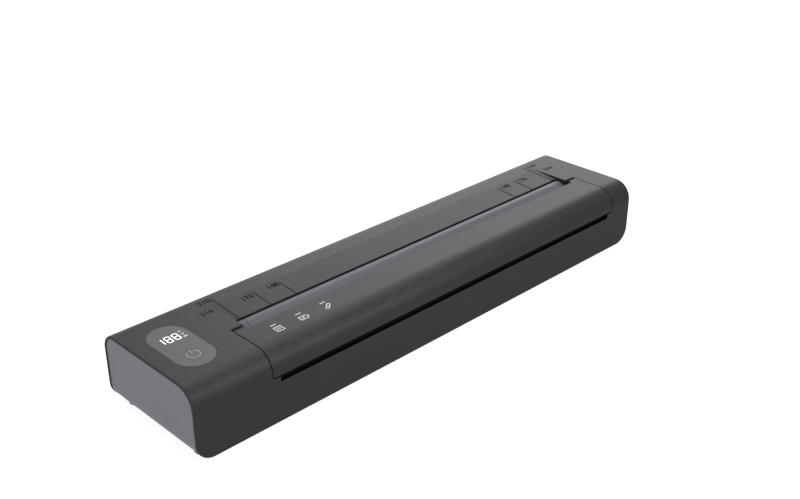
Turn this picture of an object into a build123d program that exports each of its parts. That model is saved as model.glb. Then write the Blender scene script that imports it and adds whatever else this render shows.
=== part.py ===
from build123d import *
import math
import os

# A slim portable thermal printer for single A4 sheets, in millimetres.
# The origin is on the table under the middle of the case. +X runs along the case to the
# reader's right, +Y runs from the front face to the rear, +Z is up. The pieces are drawn
# from "deep", the distance behind the front face, and from the height above the table.

# Case
case_length = 282.5
case_depth = 63.4
case_height = 33.5
foot_stand = 1.0            # the feet hold the case this far off the table
front_top_radius = 9.6      # long bend from the top to the front face
rear_top_radius = 7.8
end_bottom_radius = 8.3     # bends from the bottom up to the two ends
edge_radius = 0.6           # rounding of the sleeve's outer rim
case_wall = 2.0
rim = 1.3                   # the sleeve's rim that stands round the tray
tray_recess = 0.4           # the tray's ends lie this far inside the rim
tray_wall = 2.0
fit_gap = 0.1               # between two fixed mouldings

# Side blocks and side frames
left_block = 37.65          # from the case's left end to the left side frame
right_block = 15.05
frame_thick = 1.2
frame_inner = (case_length - left_block - right_block) / 2 - frame_thick
paper_middle = (left_block - right_block) / 2   # the middle of the paper
frame_foot = 6.5            # width of the frames' feet
frame_front = 4.8           # the frames' front and rear edges
frame_rear = 35.0

# Paper path. Half widths are counted from the paper's middle.
letter_half = frame_inner - 5.5     # the feed deck's two side walls
slot_half = frame_inner - 3.3       # the exit slot
slot_low = 20.2
feed_edge_deep = 33.6       # the feed deck's front edge
deck_start_deep = 49.0
deck_drop = 1.05            # how far the deck falls to its front edge

# Lid
lid_half = frame_inner + 0.9        # the opening for the lid
lid_low = 22.65             # lower edge of the opening for the lid
lid_gap = 0.55
lid_wall = 1.8
lid_corner_deep = 25.2      # rear edge of the lid's two corners
lid_middle_deep = 23.2      # rear edge of the lid between the corners
lid_seat_deep = 27.3        # front edge of the sleeve behind the corners
lid_corner_radius = 1.2
hinge_deep = 30.3
hinge_high = 30.6
hinge_pin_radius = 0.8
turning_fit = 0.05          # radial play of what turns on a pin
lid_arm_inner = frame_inner - 4.4   # the lid frame's two arms
lid_arm_thick = 2.0

frame_plate_thick = 1.2
frame_plate_rear = 19.2
lid_screw_deep = 12.4
light_step = 13.4
light_first = paper_middle - frame_inner + 14.1
light_spots = (light_first, light_first + light_step, light_first + 2 * light_step)
light_deep = 17.75
light_long = 2.9
light_wide = 0.7
light_board_left = light_first - 4.7
light_board_right = light_first + 2 * light_step + 5.0

# Guide bar on the lid's rear edge
bar_half = letter_half - 0.7
bar_end_long = 3.2          # the bar's two ends, past a narrow groove
bar_end_radius = 1.2
bar_groove_wide = 0.3
bar_groove_deep = 0.4
bar_top_drop = 1.3
bar_flat_deep = 29.6
bar_nose_radius = 3.15
bar_slope = 17.0
pin_in_bar = 5.0
bar_screw_deep = 21.0
chute_radius = 4.35         # the feed slot's rear wall, round the hinge
chute_thick = 1.1
sensor_x = paper_middle - 31.3
sensor_deep = 25.5
guide_half = slot_half + 0.2        # the guide behind the exit slot

# Platen, gears and motor
nip_deep = 15.0
nip_high = 26.2
head_tilt = 10.0
platen_radius = 5.6
platen_half = frame_inner - 5.5
platen_core_radius = 3.8
platen_shaft_radius = 2.0
bush_radius = 3.4
bush_flange_radius = 4.4
gear_module = 0.6
platen_teeth = 28
idler_small_teeth = 12
idler_large_teeth = 29
pinion_teeth = 11
gear_width = 2.6
gear_gap = 0.6              # free space between the gears' planes
idler_direction = -15.0
pinion_direction = 0.0
motor_radius = 10.4
motor_length = 17.5
motor_shaft_radius = 1.0
idler_stud_radius = 1.5
gear_backlash = 0.1
motor_pilot_radius = 2.5
motor_screw_reach = 6.0
gear_plate_thick = 1.2
frame_screw_deeps = (frame_front + 4.2, frame_rear - 5.0)

# Print head
head_gap = 0.3              # the paper's room between platen and head
substrate_thick = 1.0
sink_thick = 2.2
head_front = 6.5            # the head's reach before the print line
head_rear = 3.5
head_pivot_behind = 5.2
head_pivot_above = 2.6
head_pivot_radius = 0.75
head_half = platen_half - 0.6
spring_radius = 1.4
spring_wire = 0.2
spring_deep = 10.6

# Latch
latch_deep = 5.4
latch_high = 28.0
latch_shaft_radius = 1.0
stud_deep = 8.7
stud_high = 19.6
stud_radius = 1.0
hook_thick = 1.8
side_play = 0.3             # sideways, between bodies that move past each other
hook_outer = frame_inner - side_play

# Display
window_middle = 16.65 - case_length / 2
window_middle_deep = case_depth / 2 - 0.55
window_width = 17.7
window_length = 35.7
window_thick = 1.0
window_ledge = 1.4
key_deep = window_middle_deep - 8.75
key_radius = 4.0
key_fit = 0.1
key_travel = 0.35

# Feet and screws
foot_radius = 5.0
foot_thick = 2.0
foot_from_end = 9.2
foot_from_face = 8.0
screw_radius = 1.25
screw_head_radius = 2.5
screw_head_high = 1.6

# Boards and battery
board_thick = 1.0
standoff_high = 2.6
cradle_wall = 1.2
battery_middle = paper_middle - 13.3
cell_radius = 9.2
cell_length = 65.0
cell_deep = case_depth - case_wall - cradle_wall - cell_radius - 3.0
main_board_left = paper_middle - frame_inner + 14.4
main_board_right = paper_middle + frame_inner - 67.0
board_front = 5.0
board_rear = cell_deep - cell_radius - cradle_wall - 2.6
io_board_left = paper_middle + frame_inner + frame_thick + 1.4
usb_width = 8.9
usb_high = 3.2
usb_length = 7.4

front_face = -case_depth / 2
case_low = foot_stand
case_high = foot_stand + case_height
floor_high = case_low + tray_wall
lid_under = case_high - lid_wall
board_high = floor_high + standoff_high
frame_low = floor_high + 2.0
display_board_high = case_high - 5.6    # underside of the display's board
switch_top = case_high - 2.6


def end_plane(x):
    """A plane across the case at x: its first axis is deep, its second is height."""
    return Plane(origin=(x, front_face, 0), x_dir=(0, 1, 0), z_dir=(1, 0, 0))


def deck_plane(high):
    """A level plane: its first axis is x, its second is deep."""
    return Plane(origin=(0, front_face, high), x_dir=(1, 0, 0), z_dir=(0, 0, 1))


def face_plane(deep):
    """A plane along the case, seen from the front: x, then height. It faces forwards."""
    return Plane(origin=(0, front_face + deep, 0), x_dir=(1, 0, 0), z_dir=(0, -1, 0))


def case_section(skin, low):
    """The case's end outline, drawn in by skin at the front, top and rear."""
    with BuildSketch() as section:
        with BuildLine():
            Polyline((skin, low), (skin, case_high - skin), (case_depth - skin, case_high - skin),
                     (case_depth - skin, low), close=True)
        make_face()
        tops = section.vertices().group_by(Axis.Y)[-1].sort_by(Axis.X)
        fillet(tops[0], front_top_radius - skin)
        tops = section.vertices().group_by(Axis.Y)[-1].sort_by(Axis.X)
        fillet(tops[-1], rear_top_radius - skin)
    return section.sketch


def case_front(inset, low, high):
    """The case's front outline between two heights, with its two bottom bends."""
    with BuildSketch() as outline:
        with Locations((0, (low + high) / 2)):
            Rectangle(case_length - 2 * inset, high - low)
        fillet(outline.vertices().group_by(Axis.Y)[0], end_bottom_radius - inset)
    return outline.sketch




def box_at(x_from, x_to, deep_from, deep_to, low, high, mode=Mode.ADD):
    """A plain box between its six sides."""
    middle = ((x_from + x_to) / 2, front_face + (deep_from + deep_to) / 2, (low + high) / 2)
    with Locations(middle):
        Box(x_to - x_from, deep_to - deep_from, high - low, mode=mode)


def rod_at(x_from, x_to, deep, high, radius, mode=Mode.ADD):
    """A round bar along X."""
    with Locations(Location(((x_from + x_to) / 2, front_face + deep, high), (0, 90, 0))):
        Cylinder(radius, x_to - x_from, mode=mode)


def post_at(spots, low, high, radius, mode=Mode.ADD):
    """Upright round columns at some (x, deep) spots."""
    with Locations(*[(x, front_face + deep, (low + high) / 2) for x, deep in spots]):
        Cylinder(radius, high - low, mode=mode)


def slice_at(points, x_from, x_to, mode=Mode.ADD):
    """A body with one (deep, height) outline between two x limits."""
    with BuildSketch(end_plane(x_from), mode=Mode.PRIVATE) as outline:
        with BuildLine():
            Polyline(*points, close=True)
        make_face()
    extrude(outline.sketch, amount=x_to - x_from, mode=mode)


def span(side, near, far):
    """The x limits of what lies near to far from the paper's middle, on one side."""
    return sorted((paper_middle + side * near, paper_middle + side * far))


def gear_outline(teeth, tooth_at):
    """The outline of an involute gear with one tooth centred on the angle tooth_at."""
    pressure = math.radians(25)
    pitch = gear_module * teeth / 2
    base = pitch * math.cos(pressure)
    tip = pitch + 0.8 * gear_module
    root = pitch - 1.05 * gear_module
    half_tooth = math.pi / (2 * teeth) - gear_backlash / (4 * pitch)
    at_pitch = math.tan(pressure) - pressure
    points = []
    for tooth in range(teeth):
        centre = math.radians(tooth_at) + 2 * math.pi * tooth / teeth
        start = max(base, root)
        flank = []
        for step in range(5):
            radius = start + (tip - start) * step / 4
            roll = math.acos(min(1.0, base / radius))
            flank.append((radius, half_tooth + at_pitch - (math.tan(roll) - roll)))
        if root < base:
            flank.insert(0, (root, flank[0][1]))
        for radius, angle in flank:
            points.append((radius * math.cos(centre - angle), radius * math.sin(centre - angle)))
        for radius, angle in reversed(flank):
            points.append((radius * math.cos(centre + angle), radius * math.sin(centre + angle)))
    return points


def gear_at(teeth, tooth_at, deep, high, x_from, x_to):
    """An involute gear between two x limits."""
    outline = gear_outline(teeth, tooth_at)
    slice_at([(deep + u, high + v) for u, v in outline], x_from, x_to)


pieces = {}

# Places that several pieces share.
left_frame = paper_middle - frame_inner - frame_thick       # outer face of the left side frame
right_frame = paper_middle + frame_inner + frame_thick      # outer face of the right side frame
tilt = math.radians(head_tilt)
platen_deep = nip_deep + platen_radius * math.sin(tilt)
platen_high = nip_high - platen_radius * math.cos(tilt)
idler_reach = gear_module * (platen_teeth + idler_small_teeth) / 2
idler_deep = platen_deep + idler_reach * math.cos(math.radians(idler_direction))
idler_high = platen_high + idler_reach * math.sin(math.radians(idler_direction))
pinion_reach = gear_module * (idler_large_teeth + pinion_teeth) / 2
motor_deep = idler_deep + pinion_reach * math.cos(math.radians(pinion_direction))
motor_high = idler_high + pinion_reach * math.sin(math.radians(pinion_direction))
near_gears = left_frame - gear_gap                          # right side of the first gear plane
far_gears = near_gears - gear_width - gear_gap              # right side of the second one
plate_face = far_gears - gear_width - gear_gap              # gear plate's right side


def head_point(along, above):
    """A (deep, height) point in the print head's own tilt, from the print line."""
    return (nip_deep + along * math.cos(tilt) - above * math.sin(tilt),
            nip_high + along * math.sin(tilt) + above * math.cos(tilt))


pivot_deep, pivot_high = head_point(head_pivot_behind, head_pivot_above)
lid_screw_spots = (light_first - 3.7, paper_middle - head_half * 0.2, paper_middle + head_half * 0.22,
                   paper_middle + head_half - 3.9)
bar_screw_spots = (paper_middle - bar_half * 0.84, paper_middle - bar_half * 0.38,
                   paper_middle + bar_half * 0.36, paper_middle + bar_half * 0.82)
foot_spots = [(x, deep) for x in (foot_from_end - case_length / 2, case_length / 2 - foot_from_end)
              for deep in (foot_from_face, case_depth - foot_from_face)]
boss_low = floor_high + 2.4

# ---------------------------------------------------------------- sleeve and tray

outer_section = case_section(0, case_low)
cavity_section = case_section(case_wall, case_low - 1)
pocket_section = case_section(rim - fit_gap, case_low - 1)
tray_section = case_section(rim, case_low)

with BuildPart() as case_form:
    with BuildSketch(end_plane(-case_length / 2)):
        add(outer_section)
    extrude(amount=case_length)
    with BuildSketch(face_plane(0)):
        add(case_front(0, case_low, case_high))
    extrude(amount=-case_depth, mode=Mode.INTERSECT)
    bends = case_low + end_bottom_radius
    half = case_length / 2
    ends = case_form.edges().filter_by_position(Axis.X, half - 0.01, half + 0.01)
    ends += case_form.edges().filter_by_position(Axis.X, -half - 0.01, -half + 0.01)
    rims = [e for e in ends if abs(e.center().Z - bends) > 0.1]
    rims += [e for e in case_form.edges().filter_by(GeomType.CIRCLE) if e.center().Z < bends]
    rims += case_form.edges().filter_by(Axis.X).group_by(Axis.Z)[0]
    fillet(rims, edge_radius)

# The tray's space: a floor and two upturned ends, as a U seen from the front.
with BuildPart() as tray_pocket:
    with BuildSketch(face_plane(-1)):
        add(case_front(-1, case_low - 1, case_high + 1))
        add(case_front(tray_recess + tray_wall + fit_gap, floor_high + fit_gap, case_high + 2),
            mode=Mode.SUBTRACT)
    extrude(amount=-case_depth - 2)
    with BuildSketch(end_plane(-case_length / 2 - 2)):
        add(pocket_section)
    extrude(amount=case_length + 4, mode=Mode.INTERSECT)

column_radius = 3.0
display_front = foot_from_face + column_radius + 0.3
display_rear = case_depth - foot_from_face - column_radius - 1.4
display_screw_spots = [(window_middle + side * 5.6, deep) for side in (-1, 1)
                       for deep in (display_front + 1.9, display_rear - 1.9)]
lip_low = hinge_high + 0.6

with BuildPart() as upper_case:
    add(case_form.part)
    with BuildSketch(end_plane(-case_length / 2 - 2)):
        add(cavity_section)
    extrude(amount=case_length + 4, mode=Mode.SUBTRACT)
    # screw columns over the feet, and short ones for the display's board
    post_at(foot_spots, boss_low, case_high - case_wall + 0.5, column_radius)
    post_at(foot_spots, boss_low - 1, boss_low + 10, screw_radius, Mode.SUBTRACT)
    post_at(display_screw_spots, display_board_high + board_thick, case_high - case_wall + 0.5, 1.8)
    post_at(display_screw_spots, display_board_high, case_high - case_wall, 0.7, Mode.SUBTRACT)
    # the feed slot's lip under the deck
    slice_at([(hinge_deep + 2.6, case_high - deck_drop), (hinge_deep + 2.6, lip_low),
              (feed_edge_deep + 2.4, lip_low), (feed_edge_deep + 5, case_high - case_wall),
              (feed_edge_deep + 6, case_high - case_wall + 0.6)],
             paper_middle - letter_half, paper_middle + letter_half)
    add(tray_pocket.part, mode=Mode.SUBTRACT)
    # opening for the lid
    with BuildSketch(face_plane(-1)) as lid_hole:
        with Locations((paper_middle, (lid_low + case_high + 4) / 2)):
            Rectangle(2 * lid_half, case_high + 4 - lid_low)
        fillet(lid_hole.vertices().group_by(Axis.Y)[0], lid_corner_radius)
    extrude(amount=-lid_seat_deep - 1, mode=Mode.SUBTRACT)
    box_at(paper_middle - slot_half, paper_middle + slot_half, -1, case_wall + 1, slot_low,
           lid_low + 1, Mode.SUBTRACT)
    box_at(paper_middle - letter_half, paper_middle + letter_half, lid_seat_deep - 1, hinge_deep,
           case_high - 4, case_high + 1, Mode.SUBTRACT)
    rod_at(paper_middle - letter_half, paper_middle + letter_half, hinge_deep, hinge_high,
           chute_radius, Mode.SUBTRACT)
    # the deck falls towards the slot
    fall = deck_drop / (deck_start_deep - feed_edge_deep)
    slice_at([(deck_start_deep, case_high), (hinge_deep, case_high - fall * (deck_start_deep - hinge_deep)),
              (hinge_deep, case_high + 1), (deck_start_deep, case_high + 1)],
             paper_middle - letter_half, paper_middle + letter_half, Mode.SUBTRACT)
    # seat and opening for the display window
    with BuildSketch(deck_plane(case_high)):
        with Locations((window_middle, window_middle_deep)):
            SlotOverall(window_length, window_width, rotation=90)
    extrude(amount=-window_thick, mode=Mode.SUBTRACT)
    with BuildSketch(deck_plane(case_high)):
        with Locations((window_middle, window_middle_deep)):
            SlotOverall(window_length - 2 * window_ledge, window_width - 2 * window_ledge, rotation=90)
    extrude(amount=-case_wall - 1, mode=Mode.SUBTRACT)
pieces["upper_case"] = upper_case.part

usb_deep = case_depth / 2
usb_low = board_high + board_thick
frame_feet = [(left_frame + frame_thick + frame_foot / 2, deep) for deep in frame_screw_deeps]
frame_feet += [(right_frame - frame_thick - frame_foot / 2, deep) for deep in frame_screw_deeps]
plate_feet = (idler_deep + 1.4, motor_deep + 5.4)
frame_feet += [(plate_face - gear_plate_thick - frame_foot / 2, deep) for deep in plate_feet]
board_feet = [(x, deep) for x in (main_board_left + 4, main_board_right - 4)
              for deep in (board_front + 3.5, board_rear - 3.5)]
board_feet += [(io_board_left + 3, usb_deep + side * 11.2) for side in (-1, 1)]

with BuildPart() as base_tray:
    with BuildSketch(face_plane(rim)):
        add(case_front(tray_recess, case_low, case_high))
        add(case_front(tray_recess + tray_wall, floor_high, case_high + 1), mode=Mode.SUBTRACT)
    extrude(amount=-(case_depth - 2 * rim))
    # pads for the feet and their screws
    post_at(foot_spots, case_low + 0.5, boss_low - fit_gap, foot_radius + 0.7)
    add(case_form.part, mode=Mode.INTERSECT)
    with BuildSketch(end_plane(-case_length / 2)):
        add(tray_section)
    extrude(amount=case_length, mode=Mode.INTERSECT)
    # pads and pegs that carry the frames and the boards
    post_at(frame_feet, floor_high - 0.5, frame_low, 2.6)
    post_at(frame_feet, floor_high - 1, frame_low + 1, 0.9, Mode.SUBTRACT)
    post_at(board_feet, floor_high - 0.5, board_high, 2.0)
    post_at(board_feet, floor_high, board_high + 1, 0.7, Mode.SUBTRACT)
    post_at(foot_spots, 0, foot_thick, foot_radius, Mode.SUBTRACT)
    post_at(foot_spots, 0, foot_thick + screw_head_high, screw_head_radius, Mode.SUBTRACT)
    post_at(foot_spots, 0, case_high / 2, screw_radius + 0.15, Mode.SUBTRACT)
    # the socket's mouth in the right end
    with BuildSketch(end_plane(case_length / 2 - 4)):
        with Locations((usb_deep, usb_low + usb_high / 2)):
            RectangleRounded(usb_width + 0.4, usb_high + 0.4, 1.7)
    extrude(amount=6, mode=Mode.SUBTRACT)
pieces["base_tray"] = base_tray.part

with BuildPart() as rubber_feet:
    post_at(foot_spots, 0, foot_thick, foot_radius)
    soles = rubber_feet.faces().filter_by(Axis.Z).group_by(Axis.Z)[0]
    chamfer(soles.edges(), 0.3)
pieces["rubber_feet"] = rubber_feet.part

with BuildPart() as case_screws:
    post_at(foot_spots, foot_thick, foot_thick + screw_head_high, screw_head_radius)
    post_at(foot_spots, foot_thick, foot_thick + 10.5, screw_radius)
    with BuildSketch(deck_plane(foot_thick)):
        with Locations(*foot_spots):
            RegularPolygon(0.9, 6)
    extrude(amount=1.0, mode=Mode.SUBTRACT)
pieces["case_screws"] = case_screws.part

# ---------------------------------------------------------------- display and power key

key_spot = [(window_middle, key_deep)]
key_flange_radius = key_radius + 0.9
window_under = case_high - window_thick

with BuildPart() as display_window:
    with BuildSketch(deck_plane(window_under)):
        with Locations((window_middle, window_middle_deep)):
            SlotOverall(window_length, window_width, rotation=90)
    extrude(amount=window_thick)
    post_at(key_spot, window_under - 1, case_high + 1, key_radius + key_fit, Mode.SUBTRACT)
pieces["display_window"] = display_window.part

with BuildPart() as power_key:
    post_at(key_spot, window_under - 0.1, case_high, key_radius)
    post_at(key_spot, window_under - 0.6, window_under - 0.1, key_flange_radius)
    post_at(key_spot, switch_top + key_travel + 0.1, window_under - 0.6, 1.4)
pieces["power_key"] = power_key.part

with BuildPart() as display_module:
    box_at(window_middle - 6.6, window_middle + 6.6, key_deep + 6.0, window_middle_deep + 15.2,
           display_board_high + board_thick, window_under - 0.1)
    with BuildSketch(deck_plane(display_board_high)):
        with Locations((window_middle, window_middle_deep)):
            SlotOverall(window_length - 2 * window_ledge - 0.6, window_width - 2 * window_ledge - 0.6,
                        rotation=90)
    extrude(amount=case_high - display_board_high, mode=Mode.INTERSECT)
pieces["display_module"] = display_module.part

with BuildPart() as display_board:
    box_at(window_middle - 8.6, window_middle + 8.6, display_front, display_rear, display_board_high,
           display_board_high + board_thick)
    fillet(display_board.edges().filter_by(Axis.Z), 1.0)
    post_at(display_screw_spots, display_board_high - 1, case_high, 0.9, Mode.SUBTRACT)
pieces["display_board"] = display_board.part

with BuildPart() as power_switch:
    box_at(window_middle - 3, window_middle + 3, key_deep - 3, key_deep + 3,
           display_board_high + board_thick, switch_top - 0.4)
    post_at(key_spot, switch_top - 0.4, switch_top, 1.7)
pieces["power_switch"] = power_switch.part

with BuildPart() as display_screws:
    post_at(display_screw_spots, display_board_high - 0.9, display_board_high, 1.5)
    post_at(display_screw_spots, display_board_high - 0.1, case_high - case_wall - 0.3, 0.7)
pieces["display_screws"] = display_screws.part

# ---------------------------------------------------------------- side frames

frame_outline = [(frame_front, frame_low), (frame_front, lid_under - 6.7),
                 (frame_front + 5.2, lid_under - 1.1), (hinge_deep - 3.9, lid_under - 1.1),
                 (hinge_deep - 3.1, lid_under - 0.4), (hinge_deep + 2.9, lid_under - 0.4),
                 (frame_rear, hinge_high - 2.6), (frame_rear, frame_low)]
foot_outline = [(frame_front, frame_low), (frame_rear, frame_low), (frame_rear, frame_low + frame_thick),
                (frame_front, frame_low + frame_thick)]

with BuildPart() as left_side_frame:
    slice_at(frame_outline, left_frame, left_frame + frame_thick)
    slice_at(foot_outline, left_frame + frame_thick - 0.2, left_frame + frame_thick + frame_foot)
    rod_at(left_frame - 1, left_frame + 3, platen_deep, platen_high, bush_radius, Mode.SUBTRACT)
    rod_at(left_frame - 1, left_frame + 3, idler_deep, idler_high, idler_stud_radius, Mode.SUBTRACT)
    rod_at(left_frame - 1, left_frame + 3, hinge_deep, hinge_high, hinge_pin_radius, Mode.SUBTRACT)
    rod_at(left_frame - 1, left_frame + 3, stud_deep, stud_high, stud_radius, Mode.SUBTRACT)
    post_at(frame_feet, 0, frame_low + 3, 1.1, Mode.SUBTRACT)
pieces["left_side_frame"] = left_side_frame.part

with BuildPart() as right_side_frame:
    slice_at(frame_outline, right_frame - frame_thick, right_frame)
    slice_at(foot_outline, right_frame - frame_thick - frame_foot, right_frame - frame_thick + 0.2)
    rod_at(right_frame - 3, right_frame + 1, platen_deep, platen_high, bush_radius, Mode.SUBTRACT)
    rod_at(right_frame - 3, right_frame + 1, hinge_deep, hinge_high, hinge_pin_radius, Mode.SUBTRACT)
    rod_at(right_frame - 3, right_frame + 1, stud_deep, stud_high, stud_radius, Mode.SUBTRACT)
    post_at(frame_feet, 0, frame_low + 3, 1.1, Mode.SUBTRACT)
pieces["right_side_frame"] = right_side_frame.part

with BuildPart() as gear_plate:
    slice_at([(idler_deep - 3.4, frame_low), (idler_deep - 3.4, idler_high + 3.4),
              (idler_deep + 1, motor_high + 9.0), (motor_deep + 8.0, motor_high + 9.0),
              (motor_deep + 10.0, motor_high + 6.0), (motor_deep + 10.0, frame_low)],
             plate_face - gear_plate_thick, plate_face)
    slice_at([(idler_deep - 3.4, frame_low), (motor_deep + 10.0, frame_low),
              (motor_deep + 10.0, frame_low + gear_plate_thick),
              (idler_deep - 3.4, frame_low + gear_plate_thick)],
             plate_face - gear_plate_thick - frame_foot, plate_face - gear_plate_thick + 0.2)
    rod_at(plate_face - 3, plate_face + 1, idler_deep, idler_high, idler_stud_radius, Mode.SUBTRACT)
    rod_at(plate_face - 3, plate_face + 1, motor_deep, motor_high, motor_pilot_radius, Mode.SUBTRACT)
    for side in (-1, 1):
        rod_at(plate_face - 3, plate_face + 1, motor_deep, motor_high + side * motor_screw_reach, 0.8,
               Mode.SUBTRACT)
    post_at(frame_feet, 0, frame_low + 3, 1.1, Mode.SUBTRACT)
pieces["gear_plate"] = gear_plate.part

with BuildPart() as frame_screws:
    post_at(frame_feet, frame_low + frame_thick, frame_low + frame_thick + 1.0, 1.9)
    post_at(frame_feet, floor_high - 0.9, frame_low + frame_thick + 0.2, 0.9)
pieces["frame_screws"] = frame_screws.part

with BuildPart() as platen_bushes:
    for side in (-1, 1):
        x_from, x_to = span(side, frame_inner - 0.8, frame_inner)
        rod_at(x_from, x_to, platen_deep, platen_high, bush_flange_radius)
        x_from, x_to = span(side, frame_inner - 0.1, frame_inner + frame_thick + 0.2)
        rod_at(x_from, x_to, platen_deep, platen_high, bush_radius)
        x_from, x_to = span(side, frame_inner - 2, frame_inner + 4)
        rod_at(x_from, x_to, platen_deep, platen_high, platen_shaft_radius + turning_fit, Mode.SUBTRACT)
pieces["platen_bushes"] = platen_bushes.part

with BuildPart() as hinge_pins:
    for side in (-1, 1):
        x_from, x_to = span(side, bar_half - pin_in_bar, frame_inner + frame_thick)
        rod_at(x_from, x_to, hinge_deep, hinge_high, hinge_pin_radius)
        x_from, x_to = span(side, frame_inner + frame_thick, frame_inner + frame_thick + 0.6)
        rod_at(x_from, x_to, hinge_deep, hinge_high, hinge_pin_radius + 0.5)
pieces["hinge_pins"] = hinge_pins.part

with BuildPart() as latch_studs:
    for side in (-1, 1):
        x_from, x_to = span(side, frame_inner - 2.3, frame_inner + frame_thick)
        rod_at(x_from, x_to, stud_deep, stud_high, stud_radius)
pieces["latch_studs"] = latch_studs.part

# ---------------------------------------------------------------- paper's way

with BuildPart() as feed_chute:
    turn = [math.radians(5 - step * 95 / 12) for step in range(13)]
    inner = [(hinge_deep + chute_radius * math.cos(a), hinge_high + chute_radius * math.sin(a))
             for a in turn]
    outer = [(hinge_deep + (chute_radius + chute_thick) * math.cos(a),
              hinge_high + (chute_radius + chute_thick) * math.sin(a)) for a in turn]
    way_high = hinge_high - chute_radius
    slice_at(inner + [(platen_deep + platen_radius + 0.2, way_high),
                      (platen_deep + platen_radius - 0.9, way_high - 0.3),
                      (platen_deep + platen_radius + 0.1, way_high - chute_thick)] + outer[::-1],
             paper_middle - frame_inner, paper_middle + frame_inner)
    # the sensor looks up through a hole
    box_at(sensor_x - 2.6, sensor_x + 2.6, sensor_deep - 1.5, sensor_deep + 1.5,
           way_high - 3, way_high + 1, Mode.SUBTRACT)
pieces["feed_chute"] = feed_chute.part

with BuildPart() as paper_sensor:
    box_at(sensor_x - 2.5, sensor_x + 2.5, sensor_deep - 1.4, sensor_deep + 1.4,
           way_high - chute_thick - 1.2, way_high - 0.3)
    box_at(sensor_x - 6, sensor_x + 6, sensor_deep - 2.2, sensor_deep + 2.2,
           way_high - chute_thick - 0.8, way_high - chute_thick)
pieces["paper_sensor"] = paper_sensor.part

with BuildPart() as exit_guide:
    slice_at([(case_wall, floor_high), (case_wall, slot_low), (9.4, slot_low + 2.4),
              (9.7, slot_low + 2.0), (case_wall + 1.4, slot_low - 1.3), (case_wall + 1.4, floor_high)],
             paper_middle - guide_half, paper_middle + guide_half)
    for rib in range(7):
        x = paper_middle - guide_half + 1 + rib * (2 * guide_half - 2) / 6
        rib_outline = [(case_wall + 1.2, slot_low - 5.7), (case_wall + 1.2, slot_low - 0.6),
                       (7.6, slot_low + 1.4)]
        slice_at(rib_outline, x - 0.6, x + 0.6)
pieces["exit_guide"] = exit_guide.part

# ---------------------------------------------------------------- platen and gears

with BuildPart() as platen_shaft:
    rod_at(*span(1, -platen_half, platen_half), platen_deep, platen_high, platen_core_radius)
    shoulder = frame_inner - 0.8 - side_play
    rod_at(*span(1, -shoulder, shoulder), platen_deep, platen_high, platen_shaft_radius + 0.9)
    rod_at(near_gears - gear_width - 0.4, right_frame + 1.2, platen_deep, platen_high,
           platen_shaft_radius)
pieces["platen_shaft"] = platen_shaft.part

with BuildPart() as platen_rubber:
    rod_at(*span(1, -platen_half, platen_half), platen_deep, platen_high, platen_radius)
    rod_at(*span(1, -platen_half - 1, platen_half + 1), platen_deep, platen_high, platen_core_radius,
           Mode.SUBTRACT)
pieces["platen_rubber"] = platen_rubber.part

with BuildPart() as platen_gear:
    gear_at(platen_teeth, idler_direction, platen_deep, platen_high, near_gears - gear_width, near_gears)
    rod_at(near_gears - 5, near_gears + 5, platen_deep, platen_high, platen_shaft_radius, Mode.SUBTRACT)
pieces["platen_gear"] = platen_gear.part

with BuildPart() as idler_gear:
    gear_at(idler_small_teeth, idler_direction + 180 + 180 / idler_small_teeth, idler_deep, idler_high,
            far_gears, near_gears)
    gear_at(idler_large_teeth, pinion_direction, idler_deep, idler_high, far_gears - gear_width, far_gears)
    rod_at(near_gears - 9, near_gears + 3, idler_deep, idler_high, idler_stud_radius + turning_fit,
           Mode.SUBTRACT)
pieces["idler_gear"] = idler_gear.part

with BuildPart() as idler_stud:
    rod_at(plate_face - gear_plate_thick, left_frame + frame_thick, idler_deep, idler_high,
           idler_stud_radius)
pieces["idler_stud"] = idler_stud.part

with BuildPart() as motor_body:
    x_to = plate_face - gear_plate_thick
    rod_at(x_to - motor_length, x_to, motor_deep, motor_high, motor_radius)
    chamfer(motor_body.edges().filter_by(GeomType.CIRCLE), 0.5)
    rod_at(x_to - 0.5, x_to + gear_plate_thick, motor_deep, motor_high, motor_pilot_radius)
    rod_at(x_to - motor_length - 1, x_to + 3, motor_deep, motor_high, motor_shaft_radius + turning_fit,
           Mode.SUBTRACT)
    for side in (-1, 1):
        rod_at(x_to - 2, x_to + 1, motor_deep, motor_high + side * motor_screw_reach, 0.8, Mode.SUBTRACT)
pieces["motor_body"] = motor_body.part

with BuildPart() as motor_screws:
    for side in (-1, 1):
        high = motor_high + side * motor_screw_reach
        rod_at(x_to - 2, plate_face, motor_deep, high, 0.8)
        rod_at(plate_face, plate_face + 0.5, motor_deep, high, 1.5)
pieces["motor_screws"] = motor_screws.part

with BuildPart() as motor_shaft:
    rod_at(x_to - motor_length - 0.8, far_gears + 0.3, motor_deep, motor_high, motor_shaft_radius)
pieces["motor_shaft"] = motor_shaft.part

with BuildPart() as motor_pinion:
    gear_at(pinion_teeth, pinion_direction + 180 + 180 / pinion_teeth, motor_deep, motor_high,
            far_gears - gear_width, far_gears)
    rod_at(near_gears - 9, near_gears + 3, motor_deep, motor_high, motor_shaft_radius, Mode.SUBTRACT)
pieces["motor_pinion"] = motor_pinion.part

# ---------------------------------------------------------------- boards, socket and battery

with BuildPart() as main_board:
    box_at(main_board_left, main_board_right, board_front, board_rear, board_high,
           board_high + board_thick)
    fillet(main_board.edges().filter_by(Axis.Z), 1.0)
    post_at(board_feet, board_high - 1, board_high + 3, 0.8, Mode.SUBTRACT)
pieces["main_board"] = main_board.part

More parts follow.
